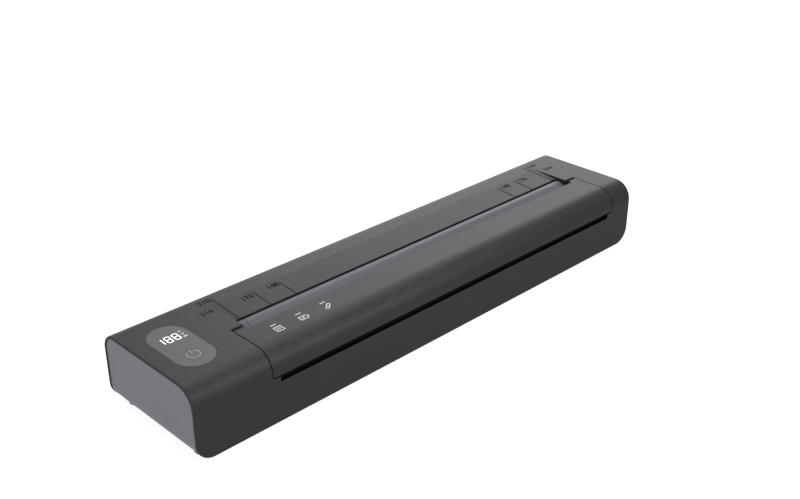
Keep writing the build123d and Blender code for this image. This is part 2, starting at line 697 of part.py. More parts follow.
with BuildPart() as main_chips:
    chip_low = board_high + board_thick
    board_long = main_board_right - main_board_left
    # each chip's share of the way along the board, deep, width, length and height
    for along, deep, wide, long, high in ((0.18, 18, 12, 12, 1.2), (0.34, 15, 9, 7, 1.6),
                                          (0.48, 24, 7, 7, 1.0), (0.645, 12, 18, 4.5, 2.6),
                                          (0.81, 22, 10, 8, 1.8), (0.865, 11, 6, 4, 2.4)):
        left = main_board_left + along * board_long - wide / 2
        box_at(left, left + wide, deep - long / 2, deep + long / 2, chip_low, chip_low + high)
    cans = [(main_board_left + along * board_long, deep)
            for along, deep in ((0.548, 15), (0.726, 25), (0.74, 17))]
    post_at(cans, chip_low, chip_low + 4.5, 2.2)
pieces["main_chips"] = main_chips.part

with BuildPart() as io_board:
    box_at(io_board_left, case_length / 2 - 4.2, usb_deep - 14.2, usb_deep + 14.2, board_high,
           board_high + board_thick)
    fillet(io_board.edges().filter_by(Axis.Z), 1.0)
    post_at(board_feet, board_high - 1, board_high + 3, 0.8, Mode.SUBTRACT)
pieces["io_board"] = io_board.part

with BuildPart() as usb_socket:
    usb_face = case_length / 2 - tray_recess - 0.6
    with BuildSketch(end_plane(usb_face - usb_length)):
        with Locations((usb_deep, usb_low + usb_high / 2)):
            RectangleRounded(usb_width, usb_high, 1.5)
    extrude(amount=usb_length)
    with BuildSketch(end_plane(usb_face - 5.6)):
        with Locations((usb_deep, usb_low + usb_high / 2)):
            RectangleRounded(usb_width - 0.6, usb_high - 0.6, 1.2)
    extrude(amount=6, mode=Mode.SUBTRACT)
    box_at(usb_face - 6, usb_face - 0.9, usb_deep - 3.3, usb_deep + 3.3, usb_low + usb_high / 2 - 0.35,
           usb_low + usb_high / 2 + 0.35)
pieces["usb_socket"] = usb_socket.part

with BuildPart() as board_screws:
    post_at(board_feet, board_high + board_thick, board_high + board_thick + 0.9, 1.5)
    post_at(board_feet, floor_high + 0.2, board_high + board_thick + 0.1, 0.7)
pieces["board_screws"] = board_screws.part

cell_high = floor_high + cradle_wall + cell_radius
cell_start = battery_middle - cell_length - 0.5

with BuildPart() as battery_cells:
    for start in (cell_start, battery_middle + 0.5):
        rod_at(start, start + cell_length, cell_deep, cell_high, cell_radius)
    chamfer(battery_cells.edges().filter_by(GeomType.CIRCLE), 0.4)
pieces["battery_cells"] = battery_cells.part

with BuildPart() as battery_cradle:
    left_end = cell_start - 0.2 - cradle_wall
    right_end = battery_middle + 0.5 + cell_length + 0.2 + cradle_wall
    box_at(left_end, right_end, cell_deep - cell_radius - cradle_wall, cell_deep + cell_radius + cradle_wall,
           floor_high, cell_high - 1.5)
    rod_at(left_end + cradle_wall, right_end - cradle_wall, cell_deep, cell_high, cell_radius, Mode.SUBTRACT)
pieces["battery_cradle"] = battery_cradle.part

# ---------------------------------------------------------------- lid

with BuildPart() as lid_cover:
    add(case_form.part)
    with BuildSketch(end_plane(-case_length / 2 - 2)):
        add(case_section(lid_wall, case_low - 1))
    extrude(amount=case_length + 4, mode=Mode.SUBTRACT)
    # keep what lies inside the opening
    with BuildSketch(face_plane(-1)) as lid_front:
        with Locations((paper_middle, (lid_low + lid_gap + case_high + 4) / 2)):
            Rectangle(2 * (lid_half - lid_gap), case_high + 4 - lid_low - lid_gap)
        fillet(lid_front.vertices().group_by(Axis.Y)[0], lid_corner_radius - lid_gap)
    extrude(amount=-lid_corner_deep - 1, mode=Mode.INTERSECT)
    box_at(paper_middle - letter_half - 0.3, paper_middle + letter_half + 0.3, lid_middle_deep,
           lid_corner_deep + 1, case_high - 4, case_high + 1, Mode.SUBTRACT)
    # slots that the light pipes fill
    for x in light_spots:
        box_at(x - light_long / 2, x + light_long / 2, light_deep - light_wide / 2,
               light_deep + light_wide / 2, case_high - 4, case_high + 1, Mode.SUBTRACT)
pieces["lid_cover"] = lid_cover.part

slope = math.tan(math.radians(bar_slope))
bar_high = case_high - bar_top_drop
bar_root_deep = lid_middle_deep - 0.5
bar_root_high = bar_high - slope * (bar_flat_deep - bar_root_deep)

with BuildPart() as guide_bar:
    with BuildSketch(end_plane(paper_middle - bar_half)):
        # the rounded nose round the hinge, and the tongue that runs under the lid
        with Locations((hinge_deep, hinge_high)):
            Circle(bar_nose_radius)
        with BuildLine():
            Polyline((hinge_deep + 0.5, case_high), (frame_plate_rear, case_high),
                     (frame_plate_rear, lid_under - frame_plate_thick),
                     (hinge_deep - 8.1, hinge_high - 1.0), (hinge_deep - 5.9, hinge_high - 2.2),
                     (hinge_deep - 0.6, hinge_high - bar_nose_radius + 0.1),
                     (hinge_deep + 0.5, hinge_high), close=True)
        make_face()
        # its flat top and the slope down to the tongue
        with BuildLine():
            Polyline((hinge_deep + 5, bar_high), (bar_flat_deep, bar_high), (bar_root_deep, bar_root_high),
                     (bar_root_deep, lid_under), (frame_plate_rear - 1, lid_under),
                     (frame_plate_rear - 1, case_high + 1), (hinge_deep + 5, case_high + 1), close=True)
        make_face(mode=Mode.SUBTRACT)
    extrude(amount=2 * bar_half)
    # a groove marks off each end, which turns on its pin
    groove_at = bar_half - bar_end_long - bar_groove_wide
    for side in (-1, 1):
        x_from, x_to = span(side, groove_at, groove_at + bar_groove_wide)
        with BuildSketch(end_plane(x_from)):
            with BuildLine():
                Polyline((hinge_deep, bar_high + 1), (hinge_deep, bar_high - bar_groove_deep),
                         (bar_flat_deep, bar_high - bar_groove_deep),
                         (bar_root_deep, bar_root_high - bar_groove_deep), (bar_root_deep, bar_high + 1),
                         close=True)
            make_face()
        extrude(amount=bar_groove_wide, mode=Mode.SUBTRACT)
        with BuildSketch(end_plane(x_from)):
            with Locations((hinge_deep, hinge_high)):
                Circle(bar_nose_radius + 0.5)
                Circle(bar_nose_radius - bar_groove_deep, mode=Mode.SUBTRACT)
            with Locations((hinge_deep - bar_nose_radius, hinge_high)):
                Rectangle(2 * bar_nose_radius, 3 * bar_nose_radius, mode=Mode.SUBTRACT)
        extrude(amount=bar_groove_wide, mode=Mode.SUBTRACT)
        x_from, x_to = span(side, bar_half - pin_in_bar - 0.3, bar_half + 1)
        rod_at(x_from, x_to, hinge_deep, hinge_high, hinge_pin_radius + turning_fit, Mode.SUBTRACT)
    # the upper rims of its two ends are rounded
    for side in (-1, 1):
        x_from, x_to = span(side, bar_half - 0.01, bar_half + 0.01)
        rims = guide_bar.edges().filter_by_position(Axis.X, x_from, x_to)
        fillet([e for e in rims if e.center().Z > hinge_high + 1.4
                and e.center().Y > front_face + bar_root_deep], bar_end_radius)
    bar_screws = [(x, bar_screw_deep) for x in bar_screw_spots]
    post_at(bar_screws, lid_under - 2, lid_under + 1, 0.8, Mode.SUBTRACT)
    post_at(bar_screws, lid_under - 5, lid_under - frame_plate_thick, 1.5, Mode.SUBTRACT)
pieces["guide_bar"] = guide_bar.part

spring_spots = [(paper_middle + share * head_half, spring_deep) for share in (-0.82, -0.37, 0.37, 0.82)]
pad_top = head_point(0, head_gap + substrate_thick + sink_thick)[1] + 0.2

with BuildPart() as lid_frame:
    box_at(*span(1, -lid_arm_inner - lid_arm_thick, lid_arm_inner + lid_arm_thick), latch_deep + 4.4,
           frame_plate_rear, lid_under - frame_plate_thick, lid_under)
    arm_outline = [(latch_deep - 1.8, latch_high - 2.4), (latch_deep - 1.8, latch_high + 1.4),
                   (latch_deep, latch_high + 3.0), (latch_deep + 4.4, lid_under),
                   (lid_middle_deep + 1.0, lid_under), (lid_middle_deep + 1.0, lid_under - 3.1),
                   (pivot_deep + 1.7, pivot_high - 1.9), (pivot_deep - 2.3, pivot_high - 1.9),
                   (latch_deep + 6.6, latch_high + 2.0), (latch_deep + 3.2, latch_high + 2.0),
                   (latch_deep + 2.0, latch_high - 2.4)]
    for side in (-1, 1):
        slice_at(arm_outline, *span(side, lid_arm_inner, lid_arm_inner + lid_arm_thick))
    post_at(spring_spots, lid_under - 4, lid_under + 1, spring_radius + 0.7, Mode.SUBTRACT)
    box_at(light_board_left - 0.5, light_board_right + 0.5, light_deep - 2.5, frame_plate_rear + 1,
           lid_under - 4, lid_under + 1, Mode.SUBTRACT)
    rod_at(*span(1, -120, 120), latch_deep, latch_high, latch_shaft_radius + turning_fit, Mode.SUBTRACT)
    rod_at(*span(1, -120, 120), pivot_deep, pivot_high, head_pivot_radius, Mode.SUBTRACT)
    post_at([(x, lid_screw_deep) for x in lid_screw_spots], lid_under - 4, lid_under + 1, 0.8, Mode.SUBTRACT)
pieces["lid_frame"] = lid_frame.part

with BuildPart() as lid_screws:
    spots = [(x, lid_screw_deep) for x in lid_screw_spots] + [(x, bar_screw_deep) for x in bar_screw_spots]
    post_at(spots, lid_under - frame_plate_thick - 0.7, lid_under - frame_plate_thick, 1.4)
    post_at(spots, lid_under - frame_plate_thick - 0.1, lid_under, 0.8)
pieces["lid_screws"] = lid_screws.part

with BuildPart() as light_pipes:
    for x in light_spots:
        box_at(x - light_long / 2, x + light_long / 2, light_deep - light_wide / 2,
               light_deep + light_wide / 2, lid_under - 0.3, case_high)
pieces["light_pipes"] = light_pipes.part

with BuildPart() as indicator_board:
    box_at(light_board_left, light_board_right, light_deep - 2.1, frame_plate_rear, lid_under - 1.0,
           lid_under - 0.3)
    for x in (light_board_left + 1.5, light_board_right - 1.5):
        box_at(x - 0.9, x + 0.9, light_deep - 2.1, frame_plate_rear, lid_under - 0.4, lid_under)
pieces["indicator_board"] = indicator_board.part

# ---------------------------------------------------------------- print head

with BuildPart() as head_substrate:
    slice_at([head_point(-head_front, head_gap), head_point(head_rear, head_gap),
              head_point(head_rear, head_gap + substrate_thick),
              head_point(-head_front, head_gap + substrate_thick)],
             *span(1, -head_half, head_half))
pieces["head_substrate"] = head_substrate.part

sink_low = head_gap + substrate_thick
sink_high = sink_low + sink_thick

with BuildPart() as head_sink:
    slice_at([head_point(-head_front, sink_low), head_point(head_rear, sink_low),
              head_point(head_rear, sink_high), head_point(-head_front, sink_high)],
             *span(1, -head_half, head_half))
    for side in (-1, 1):
        x_from, x_to = span(side, head_half - 4, head_half)
        slice_at([head_point(head_rear - 1, sink_low), head_point(head_pivot_behind, sink_low),
                  head_point(head_pivot_behind + 1.4, sink_low + 0.6),
                  head_point(head_pivot_behind + 1.4, sink_high - 0.4),
                  head_point(head_pivot_behind + 0.4, sink_high), head_point(head_rear - 1, sink_high)],
                 x_from, x_to)
    with Locations(*[(x, front_face + deep, pad_top - 0.6) for x, deep in spring_spots]):
        Cylinder(spring_radius + 0.3, 1.2)
    rod_at(*span(1, -head_half - 1, head_half + 1), pivot_deep, pivot_high,
           head_pivot_radius + turning_fit, Mode.SUBTRACT)
pieces["head_sink"] = head_sink.part

with BuildPart() as head_pivot_shaft:
    rod_at(*span(1, -lid_arm_inner - lid_arm_thick, lid_arm_inner + lid_arm_thick), pivot_deep, pivot_high,
           head_pivot_radius)
pieces["head_pivot_shaft"] = head_pivot_shaft.part

with BuildPart() as head_connector:
    low = head_point(-3.5, sink_high)
    high = head_point(-3.5, sink_high + 1.1)
    slice_at([head_point(-5.2, sink_high), head_point(-1.8, sink_high), head_point(-1.8, sink_high + 1.1),
              head_point(-5.2, sink_high + 1.1)], paper_middle - 11, paper_middle + 11)
pieces["head_connector"] = head_connector.part

with BuildPart() as head_springs:
    for x, deep in spring_spots:
        low = pad_top + spring_wire
        high = lid_under - spring_wire
        with BuildLine(Plane(origin=(x, front_face + deep, low))) as coil:
            Helix((high - low) / 3, high - low, spring_radius)
        with BuildSketch(Plane(coil.line @ 0, z_dir=coil.line % 0)):
            Circle(spring_wire)
        sweep(path=coil.line, is_frenet=True)
pieces["head_springs"] = head_springs.part

# ---------------------------------------------------------------- latch

with BuildPart() as latch_shaft:
    rod_at(*span(1, -hook_outer, hook_outer), latch_deep, latch_high, latch_shaft_radius)
pieces["latch_shaft"] = latch_shaft.part

with BuildPart() as latch_hooks:
    nose_top = stud_high - stud_radius - 0.3
    for side in (-1, 1):
        x_from, x_to = span(side, hook_outer - hook_thick, hook_outer)
        rod_at(x_from, x_to, latch_deep, latch_high, latch_shaft_radius + 1.0)
        slice_at([(latch_deep - 0.9, latch_high), (latch_deep - 0.9, nose_top - 1.4),
                  (latch_deep + 2.0, nose_top - 1.4), (stud_deep + 0.4, nose_top - 0.3),
                  (stud_deep + 0.4, nose_top), (latch_deep + 1.1, nose_top), (latch_deep + 1.1, latch_high)],
                 x_from, x_to)
        rod_at(x_from - 1, x_to + 1, latch_deep, latch_high, latch_shaft_radius, Mode.SUBTRACT)
pieces["latch_hooks"] = latch_hooks.part

os.makedirs("parts", exist_ok=True)
for name, piece in pieces.items():
    piece.label = name
    export_step(piece, f"parts/{name}.step")
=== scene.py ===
import math

import bmesh
import bpy
import numpy as np
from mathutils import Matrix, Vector


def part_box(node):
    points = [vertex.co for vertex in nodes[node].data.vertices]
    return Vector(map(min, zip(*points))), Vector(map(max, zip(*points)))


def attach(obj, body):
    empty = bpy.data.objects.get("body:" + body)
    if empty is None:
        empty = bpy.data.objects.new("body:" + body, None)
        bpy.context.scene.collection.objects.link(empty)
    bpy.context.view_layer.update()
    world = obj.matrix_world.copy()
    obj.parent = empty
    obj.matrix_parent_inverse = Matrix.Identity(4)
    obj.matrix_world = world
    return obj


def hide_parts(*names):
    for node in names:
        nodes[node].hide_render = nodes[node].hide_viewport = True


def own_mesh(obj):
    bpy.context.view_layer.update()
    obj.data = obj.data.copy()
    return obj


# A slim portable printer for single sheets, in metres. The mechanical pieces come from the
# frame and get their finishes here; the head's springs, the printed marks and signs and the
# lit figures are made here.
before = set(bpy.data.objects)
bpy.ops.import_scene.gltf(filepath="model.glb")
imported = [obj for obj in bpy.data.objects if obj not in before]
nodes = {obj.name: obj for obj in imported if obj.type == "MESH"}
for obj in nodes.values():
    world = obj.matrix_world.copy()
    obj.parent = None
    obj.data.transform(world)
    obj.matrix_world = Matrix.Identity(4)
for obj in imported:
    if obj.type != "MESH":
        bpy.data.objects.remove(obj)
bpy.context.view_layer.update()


# ---- Camera: a long lens, left of the case and in front of it, looking down at the feed
# deck and the left end.
camera_data = bpy.data.cameras.new("camera")
camera_data.sensor_width = 36.0
camera_data.lens = 49.41
camera_data.clip_start = 0.01
camera_data.clip_end = 20.0
camera = bpy.data.objects.new("camera", camera_data)
camera.location = (-0.32532, -0.33037, 0.26729)
camera.rotation_euler = (math.radians(90 - 26.768), 0.0, math.radians(-44.483))
bpy.context.scene.collection.objects.link(camera)
bpy.context.scene.camera = camera


# ---- Sleeve and lid cover: two mouldings of nearly black plastic, spark-eroded to a fine
# matt grain. The sleeve slides over the tray; the lid cover is screwed to the lid's frame.
# Deep shade inside the sheet slot, between the two, is painted on their faces as black.
def mm(*values):
    """Millimetres as metres."""
    return values[0] / 1000.0 if len(values) == 1 else tuple(v / 1000.0 for v in values)


def new_material(name):
    """An empty node material with its output, its shader and the piece's own coordinates."""
    material = bpy.data.materials.new(name)
    material.use_nodes = True
    tree = material.node_tree
    tree.nodes.clear()
    output = tree.nodes.new("ShaderNodeOutputMaterial")
    shader = tree.nodes.new("ShaderNodeBsdfPrincipled")
    place = tree.nodes.new("ShaderNodeTexCoord")
    tree.links.new(shader.outputs["BSDF"], output.inputs["Surface"])
    return material, tree, shader, place


def linear(*srgb):
    """The linear colour of three sRGB values from 0 to 255."""
    parts = [value / 255.0 for value in srgb]
    parts = [p / 12.92 if p <= 0.04045 else ((p + 0.055) / 1.055) ** 2.4 for p in parts]
    return (*parts, 1.0)


def noise(tree, place, scale, detail=2.0, stretch=None):
    """A noise texture on the piece's own coordinates, which stretch scales axis by axis."""
    texture = tree.nodes.new("ShaderNodeTexNoise")
    texture.inputs["Scale"].default_value = scale
    texture.inputs["Detail"].default_value = detail
    source = place.outputs["Object"]
    if stretch:
        mapping = tree.nodes.new("ShaderNodeMapping")
        mapping.inputs["Scale"].default_value = stretch
        tree.links.new(source, mapping.inputs["Vector"])
        source = mapping.outputs["Vector"]
    tree.links.new(source, texture.inputs["Vector"])
    return texture.outputs["Fac"]


def blend_colours(tree, factor, first, second):
    """The colour between two others, each a plain colour or another node's output."""
    mix = tree.nodes.new("ShaderNodeMix")
    mix.data_type = "RGBA"
    tree.links.new(factor, mix.inputs["Factor"])
    for socket, colour in ((mix.inputs["A"], first), (mix.inputs["B"], second)):
        if isinstance(colour, tuple):
            socket.default_value = colour
        else:
            tree.links.new(colour, socket)
    return mix.outputs["Result"]


def spread(tree, factor, low, high, start=0.0, end=1.0):
    """A value from low to high as the factor goes from start to end."""
    remap = tree.nodes.new("ShaderNodeMapRange")
    remap.inputs["From Min"].default_value = start
    remap.inputs["From Max"].default_value = end
    remap.inputs["To Min"].default_value = low
    remap.inputs["To Max"].default_value = high
    tree.links.new(factor, remap.inputs["Value"])
    return remap.outputs["Result"]


def roughen(tree, shader, factor, rough, wander):
    """Roughness from a wander under a value to a wander over it, as the factor grows."""
    tree.links.new(spread(tree, factor, rough - wander, rough + wander),
                   shader.inputs["Roughness"])


def bump(tree, shader, height, distance, strength=0.6):
    """Relief of a given depth in metres, from a height between 0 and 1."""
    relief = tree.nodes.new("ShaderNodeBump")
    relief.inputs["Distance"].default_value = distance
    relief.inputs["Strength"].default_value = strength
    tree.links.new(height, relief.inputs["Height"])
    tree.links.new(relief.outputs["Normal"], shader.inputs["Normal"])


def arithmetic(tree, operation, first, second=None):
    """One step of arithmetic on a node's output and a plain number or another output."""
    step = tree.nodes.new("ShaderNodeMath")
    step.operation = operation
    tree.links.new(first, step.inputs[0])
    if isinstance(second, float):
        step.inputs[1].default_value = second
    elif second is not None:
        tree.links.new(second, step.inputs[1])
    return step.outputs["Value"]


def inside(tree, place, low, high, soft=mm(0.1)):
    """1 inside a box of the piece's own coordinates and 0 outside it: along each axis, the
    distance from the box's middle is set against half its size, and the least wins."""
    split = tree.nodes.new("ShaderNodeSeparateXYZ")
    tree.links.new(place.outputs["Object"], split.inputs["Vector"])
    share = None
    for axis, start, end in zip("XYZ", low, high):
        away = arithmetic(tree, "SUBTRACT", split.outputs[axis], (start + end) / 2.0)
        half = (end - start) / 2.0
        here = spread(tree, arithmetic(tree, "ABSOLUTE", away), 1.0, 0.0, half - soft, half)
        share = here if share is None else arithmetic(tree, "MINIMUM", share, here)
    return share


def moulded(name, dark, pale, rough, gloss=0.5, grain=9000.0, grain_depth=mm(0.01),
            painted_shade_box=None):
    """Moulded plastic: its colour wanders between two near shades in soft clouds, and its
    roughness and relief follow a fine grain, of so many waves in a metre. Inside the shade
    box, given by two corners, the colour is black: painted shade, not the plastic's own."""
    material, tree, shader, place = new_material(name)
    clouds = noise(tree, place, scale=60.0, detail=3.0)
    colour = blend_colours(tree, clouds, dark, pale)
    if painted_shade_box:
        # painted shade: inside the box the colour is blended to near black
        colour = blend_colours(tree, inside(tree, place, *painted_shade_box), colour, linear(5, 5, 5))
    tree.links.new(colour, shader.inputs["Base Color"])
    fine = noise(tree, place, grain)
    roughen(tree, shader, fine, rough, wander=0.06)
    bump(tree, shader, fine, grain_depth)
    shader.inputs["Specular IOR Level"].default_value = gloss
    return material


def finish_node(material, *names):
    """Gives CAD nodes one finish."""
    for name in names:
        mesh = nodes[name].data
        mesh.materials.clear()
        mesh.materials.append(material)


front_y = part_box("upper_case")[0][1]
slot_left, slot_right = mm(-120.0, 150.0)   # past both of the slot's ends
slot_low, slot_high = mm(19.8, 23.6)        # its mouth, with both of its lips
painted_shade_from, painted_shade_to = mm(0.04, 4.0)        # how far behind the front face the painted shade reaches
# the box on the sleeve's slot faces where shade is painted as black
slot_painted_shade = ((slot_left, front_y + painted_shade_from, slot_low),
              (slot_right, front_y + painted_shade_to, slot_high))
sleeve_plastic_and_slot_shade = moulded("sleeve_matt_plastic_and_slot_shade", linear(50, 50, 51), linear(55, 55, 56),
                         rough=0.38, gloss=0.06, painted_shade_box=slot_painted_shade)
finish_node(sleeve_plastic_and_slot_shade, "upper_case", "lid_cover")


# ---- Tray: the case's floor and its two ends, in the same plastic, coloured a pale
# blue-grey. The sleeve's rim stands round its ends.
tray_plastic = moulded("tray_blue_grey_plastic", linear(108, 109, 114), linear(114, 115, 120),
                       rough=0.5, gloss=0.3)
finish_node(tray_plastic, "base_tray")


# ---- Guide bar: one smooth blue-grey moulding on the lid's rear edge, with faint flow
# lines along it. Its rounded nose turns round the two hinge pins.
def flow_plastic(name, dark, pale, rough, gloss):
    """Smooth plastic with faint lines along X: noise a hundred times finer across them."""
    material, tree, shader, place = new_material(name)
    lines = noise(tree, place, scale=1.0, detail=3.0, stretch=(25.0, 2500.0, 2500.0))
    tree.links.new(blend_colours(tree, lines, dark, pale), shader.inputs["Base Color"])
    roughen(tree, shader, lines, rough, wander=0.05)
    bump(tree, shader, noise(tree, place, scale=7000.0), mm(0.006))
    shader.inputs["Specular IOR Level"].default_value = gloss
    return material


bar_plastic = flow_plastic("guide_bar_plastic", linear(72, 74, 79), linear(77, 79, 84),
                           rough=0.42, gloss=0.11)
finish_node(bar_plastic, "guide_bar")


# ---- Display panel and power key: smoke-grey plastic with a satin face. The panel is glued
# in the sleeve's recess, and the key stands level with it in its round hole.
panel_plastic = moulded("smoke_grey_panel", linear(74, 74, 75), linear(78, 78, 79),
                        rough=0.4, gloss=0.15, grain=12000.0, grain_depth=mm(0.004))
finish_node(panel_plastic, "display_window", "power_key")


# ---- Light pipes: three clear bars that carry the light of the board's lamps up to the
# lid's face, where their ends glow softly.
pipe_plastic = moulded("frosted_light_pipe", linear(152, 153, 154), linear(162, 163, 164),
                       rough=0.4, gloss=0.3)
pipe_shader = [n for n in pipe_plastic.node_tree.nodes if n.type == "BSDF_PRINCIPLED"][0]
pipe_shader.inputs["Emission Color"].default_value = (1.0, 1.0, 1.0, 1.0)
pipe_shader.inputs["Emission Strength"].default_value = 0.05
finish_node(pipe_plastic, "light_pipes")


# ---- Inner mouldings: plain black plastic with a coarse moulded grain, screwed or clipped
# between the side frames.
inner_plastic = moulded("inner_black_plastic", linear(11, 11, 12), linear(16, 16, 17),
                        rough=0.65, gloss=0.12, grain=4000.0)
finish_node(inner_plastic, "feed_chute", "exit_guide", "lid_frame", "battery_cradle",
            "latch_hooks", "head_connector", "power_switch", "paper_sensor")


# ---- Chips and capacitors: blocks of matt black epoxy, moulded round the working parts and
# soldered on the main board.
chip_epoxy = moulded("chip_epoxy", linear(28, 28, 30), linear(36, 36, 38), rough=0.55,
                     grain=6000.0)
finish_node(chip_epoxy, "main_chips")


# ---- Platen and feet: black silicone rubber. The platen's sleeve is ground, which leaves
# fine rings round it; the feet are moulded and pressed into the tray.
def rubber(name, dark, pale, ring_scale):
    """Dull rubber: noise that may be finer along X, as rings round it, gives its colour, its
    roughness and its relief."""
    material, tree, shader, place = new_material(name)
    rings = noise(tree, place, scale=1.0, stretch=ring_scale)
    tree.links.new(blend_colours(tree, rings, dark, pale), shader.inputs["Base Color"])
    roughen(tree, shader, rings, 0.775, wander=0.075)
    bump(tree, shader, rings, mm(0.02))
    return material


finish_node(rubber("ground_platen_rubber", linear(30, 30, 31), linear(40, 40, 41),
                   ring_scale=(3000.0, 60.0, 60.0)), "platen_rubber")
finish_node(rubber("moulded_foot_rubber", linear(26, 26, 27), linear(34, 34, 35),
                   ring_scale=(900.0, 900.0, 900.0)), "rubber_feet")


# ---- Side frames and gear plate: pressed sheet steel, screwed to the tray's floor by their
# folded feet. The crystals of its zinc coat show as patches of slightly other brightness.
def zinc_sheet(name, colour, rough):
    """Zinc-coated steel: each cell of a crystal pattern has its own shade and roughness."""
    material, tree, shader, place = new_material(name)
    shader.inputs["Metallic"].default_value = 1.0
    crystals = tree.nodes.new("ShaderNodeTexVoronoi")
    crystals.inputs["Scale"].default_value = 420.0
    tree.links.new(place.outputs["Object"], crystals.inputs["Vector"])
    shade = tree.nodes.new("ShaderNodeSeparateColor")
    tree.links.new(crystals.outputs["Color"], shade.inputs["Color"])
    darker = tuple(c * 0.8 for c in colour[:3]) + (1.0,)
    tree.links.new(blend_colours(tree, shade.outputs["Red"], darker, colour),
                   shader.inputs["Base Color"])
    roughen(tree, shader, shade.outputs["Green"], rough, wander=0.07)
    bump(tree, shader, noise(tree, place, scale=2500.0), mm(0.008))
    return material


zinc = zinc_sheet("zinc_coated_steel", linear(186, 188, 190), rough=0.42)
finish_node(zinc, "left_side_frame", "right_side_frame", "gear_plate")


# ---- Screws, pins, shafts and springs: bright steel, drawn or turned along its axis, so
# that fine lines run along it.
def drawn_metal(name, colour, rough, stretch=(60.0, 3000.0, 3000.0)):
    """Metal with fine lines: noise that is much finer across X, or along it, gives lines
    along X or rings round it. Its shade, its roughness and its relief follow them."""
    material, tree, shader, place = new_material(name)
    shader.inputs["Metallic"].default_value = 1.0
    lines = noise(tree, place, scale=1.0, detail=3.0, stretch=stretch)
    darker = tuple(c * 0.82 for c in colour[:3]) + (1.0,)
    tree.links.new(blend_colours(tree, lines, darker, colour), shader.inputs["Base Color"])
    roughen(tree, shader, lines, rough, wander=0.08)
    bump(tree, shader, lines, mm(0.004))
    return material


steel = drawn_metal("bright_steel", linear(198, 199, 201), rough=0.3)
finish_node(steel, "frame_screws", "case_screws", "display_screws", "hinge_pins", "latch_studs",
            "idler_stud", "motor_screws", "board_screws", "lid_screws", "head_springs",
            "head_pivot_shaft", "latch_shaft", "platen_shaft", "motor_shaft")


# ---- Socket and motor can: the socket's shell is folded nickel-plated sheet, soldered to
# its board; the can is drawn steel with a satin plating, screwed to the gear plate.
finish_node(drawn_metal("nickel_shell", linear(206, 204, 198), rough=0.24), "usb_socket")
finish_node(drawn_metal("satin_motor_can", linear(168, 169, 171), rough=0.38,
                        stretch=(2500.0, 120.0, 120.0)), "motor_body")


# ---- Bushes and pinion: turned brass; the bushes are pressed into the side frames and the
# pinion on to the motor's shaft.
finish_node(drawn_metal("turned_brass", linear(201, 170, 92), rough=0.28,
                        stretch=(2500.0, 200.0, 200.0)), "platen_bushes", "motor_pinion")


# ---- Gears: off-white acetal, moulded, with a slightly waxy face. One is pressed on the
# platen's shaft, and the idler turns on its stud.
gear_acetal = moulded("gear_acetal", linear(220, 218, 209), linear(229, 227, 219), rough=0.38,
                      grain=5000.0)
finish_node(gear_acetal, "platen_gear", "idler_gear")


# ---- Print head: a milled aluminium sink with a ceramic strip glued under it. A glazed
# brown band on the ceramic carries the row of heating dots along the print line.
finish_node(drawn_metal("milled_aluminium", linear(205, 206, 208), rough=0.38), "head_sink")

print_line_y = mm(-16.7)
glaze_half = mm(0.9)
dots_half = mm(0.12)
endless = 1.0               # a box this far out on an axis has no end there


def glazed_ceramic(name, line_y, band, dots):
    """White ceramic with a brown band, and a darker line inside it, each a box about the
    print line."""
    material, tree, shader, place = new_material(name)
    in_band, on_dots = [
        inside(tree, place, (-endless, line_y - half, -endless),
               (endless, line_y + half, endless), soft)
        for half, soft in ((band, band * 0.1), (dots, dots * 0.2))]
    white = blend_colours(tree, noise(tree, place, scale=900.0), linear(224, 221, 213),
                          linear(233, 230, 223))
    banded = blend_colours(tree, in_band, white, linear(134, 92, 58))
    tree.links.new(blend_colours(tree, on_dots, banded, linear(42, 30, 26)),
                   shader.inputs["Base Color"])
    tree.links.new(spread(tree, in_band, 0.4, 0.1), shader.inputs["Roughness"])
    return material


finish_node(glazed_ceramic("glazed_ceramic", print_line_y, glaze_half, dots_half),
            "head_substrate")


# ---- Head springs: four short coils of steel wire with closed ends, set between the print
# head and the lid's plate. They press the head on the platen and shorten as it tilts.
def one_piece(name, shapes, material, body):
    """One piece made of several closed shapes, each its vertices and its four-sided faces."""
    points, faces, first = [], [], 0
    for shape_points, shape_faces in shapes:
        points.append(shape_points)
        faces.append(shape_faces + first)
        first += len(shape_points)
    mesh = bpy.data.meshes.new(name)
    mesh.from_pydata(np.concatenate(points).tolist(), [], np.concatenate(faces).tolist())
    mesh.materials.append(material)
    piece = bpy.data.objects.new(name, mesh)
    bpy.context.scene.collection.objects.link(piece)
    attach(piece, body)
    return piece


guide_low, guide_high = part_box("guide_bar")
paper_x = (guide_low[0] + guide_high[0]) / 2.0              # the sheet's middle
spring_low, spring_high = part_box("head_springs")
spring_y = (spring_low[1] + spring_high[1]) / 2.0
spring_radius = (spring_high[1] - spring_low[1]) / 2.0      # out to the wire's outer side
spring_wire = mm(0.15)              # the wire's radius
spring_turns = 5.0
closed_turn, open_turn = 0.8, 1.3   # turns from each end: closed up to the first, open past
closed_climb = 0.45                 # the climb of the closed turns, of the open ones' climb
steps_a_turn = 28
wire_sides = 8
inner_share = 0.37 / 0.82           # how far out the inner pair stands, of the outer's reach


